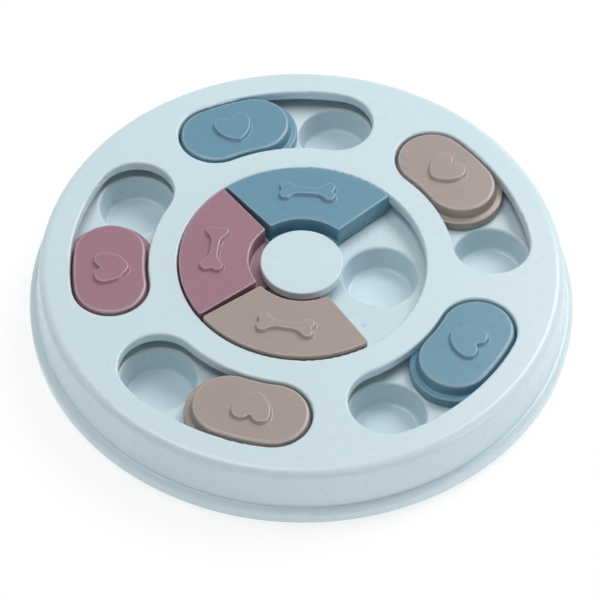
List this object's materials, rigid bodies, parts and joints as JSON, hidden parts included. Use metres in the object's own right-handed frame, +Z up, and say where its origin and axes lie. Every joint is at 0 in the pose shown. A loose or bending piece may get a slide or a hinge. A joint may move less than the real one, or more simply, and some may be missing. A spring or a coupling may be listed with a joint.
{
  "type": "sliding-cover puzzle feeder",
  "caption": "Round slow-feeder bowl for a cat: a cupped tray under a slotted cover, with covers that slide along the slots or turn round a hub to hide the cups.",
  "frame": {"origin": "on the table, under the middle of the tray", "axes": "+Z up through the hub; +X through the open inner cup; the picture looks along +Y"},
  "size_m": [0.247, 0.247, 0.0324],
  "materials": {
    "ice_plastic": "satin moulded",
    "blue_plastic": "satin moulded",
    "mauve_plastic": "satin moulded",
    "taupe_plastic": "satin moulded",
    "zinc_steel": "zinc plated",
    "rubber_pad": "matt"
  },
  "bodies": {
    "base": {"base_tray": "ice_plastic", "guide_ring": "ice_plastic", "hub_post": "ice_plastic", "top_cover": "ice_plastic", "hub_cap": "ice_plastic", "outer_well_1": "ice_plastic", "outer_well_2": "ice_plastic", "outer_well_3": "ice_plastic", "outer_well_4": "ice_plastic", "outer_well_5": "ice_plastic", "inner_well_1": "ice_plastic", "inner_well_2": "ice_plastic", "inner_well_3": "ice_plastic", "inner_well_4": "ice_plastic", "cover_screws": "zinc_steel", "hub_screw": "zinc_steel", "foot_pad_1": "rubber_pad", "foot_pad_2": "rubber_pad", "foot_pad_3": "rubber_pad", "foot_pad_4": "rubber_pad", "foot_pad_5": "rubber_pad"},
    "slider_1": {"heart_slider_1": "taupe_plastic"},
    "slider_2": {"heart_slider_2": "blue_plastic"},
    "slider_3": {"heart_slider_3": "mauve_plastic"},
    "slider_4": {"heart_slider_4": "taupe_plastic"},
    "slider_5": {"heart_slider_5": "blue_plastic"},
    "turner_mauve": {"bone_cover_mauve": "mauve_plastic"},
    "turner_blue": {"bone_cover_blue": "blue_plastic"},
    "turner_taupe": {"bone_cover_taupe": "taupe_plastic"}
  },
  "joints": [
    {"name": "slider_1_slide", "type": "hinge", "parent": "base", "child": "slider_1", "pos_m": [0, 0, 0], "axis": [0, 0, 1], "range_deg": [-25.1, 0]},
    {"name": "slider_2_slide", "type": "hinge", "parent": "base", "child": "slider_2", "pos_m": [0, 0, 0], "axis": [0, 0, 1], "range_deg": [-25.1, 0]},
    {"name": "slider_3_slide", "type": "hinge", "parent": "base", "child": "slider_3", "pos_m": [0, 0, 0], "axis": [0, 0, 1], "range_deg": [-25.1, 0]},
    {"name": "slider_4_slide", "type": "hinge", "parent": "base", "child": "slider_4", "pos_m": [0, 0, 0], "axis": [0, 0, 1], "range_deg": [-25.1, 0]},
    {"name": "slider_5_slide", "type": "hinge", "parent": "base", "child": "slider_5", "pos_m": [0, 0, 0], "axis": [0, 0, 1], "range_deg": [-25.1, 0]},
    {"name": "mauve_turn", "type": "hinge", "parent": "base", "child": "turner_mauve", "pos_m": [0, 0, 0], "axis": [0, 0, 1], "continuous": true},
    {"name": "blue_turn", "type": "hinge", "parent": "turner_mauve", "child": "turner_blue", "pos_m": [0, 0, 0], "axis": [0, 0, 1], "range_deg": [-100, 0]},
    {"name": "taupe_turn", "type": "hinge", "parent": "turner_mauve", "child": "turner_taupe", "pos_m": [0, 0, 0], "axis": [0, 0, 1], "range_deg": [0, 100]}
  ]
}
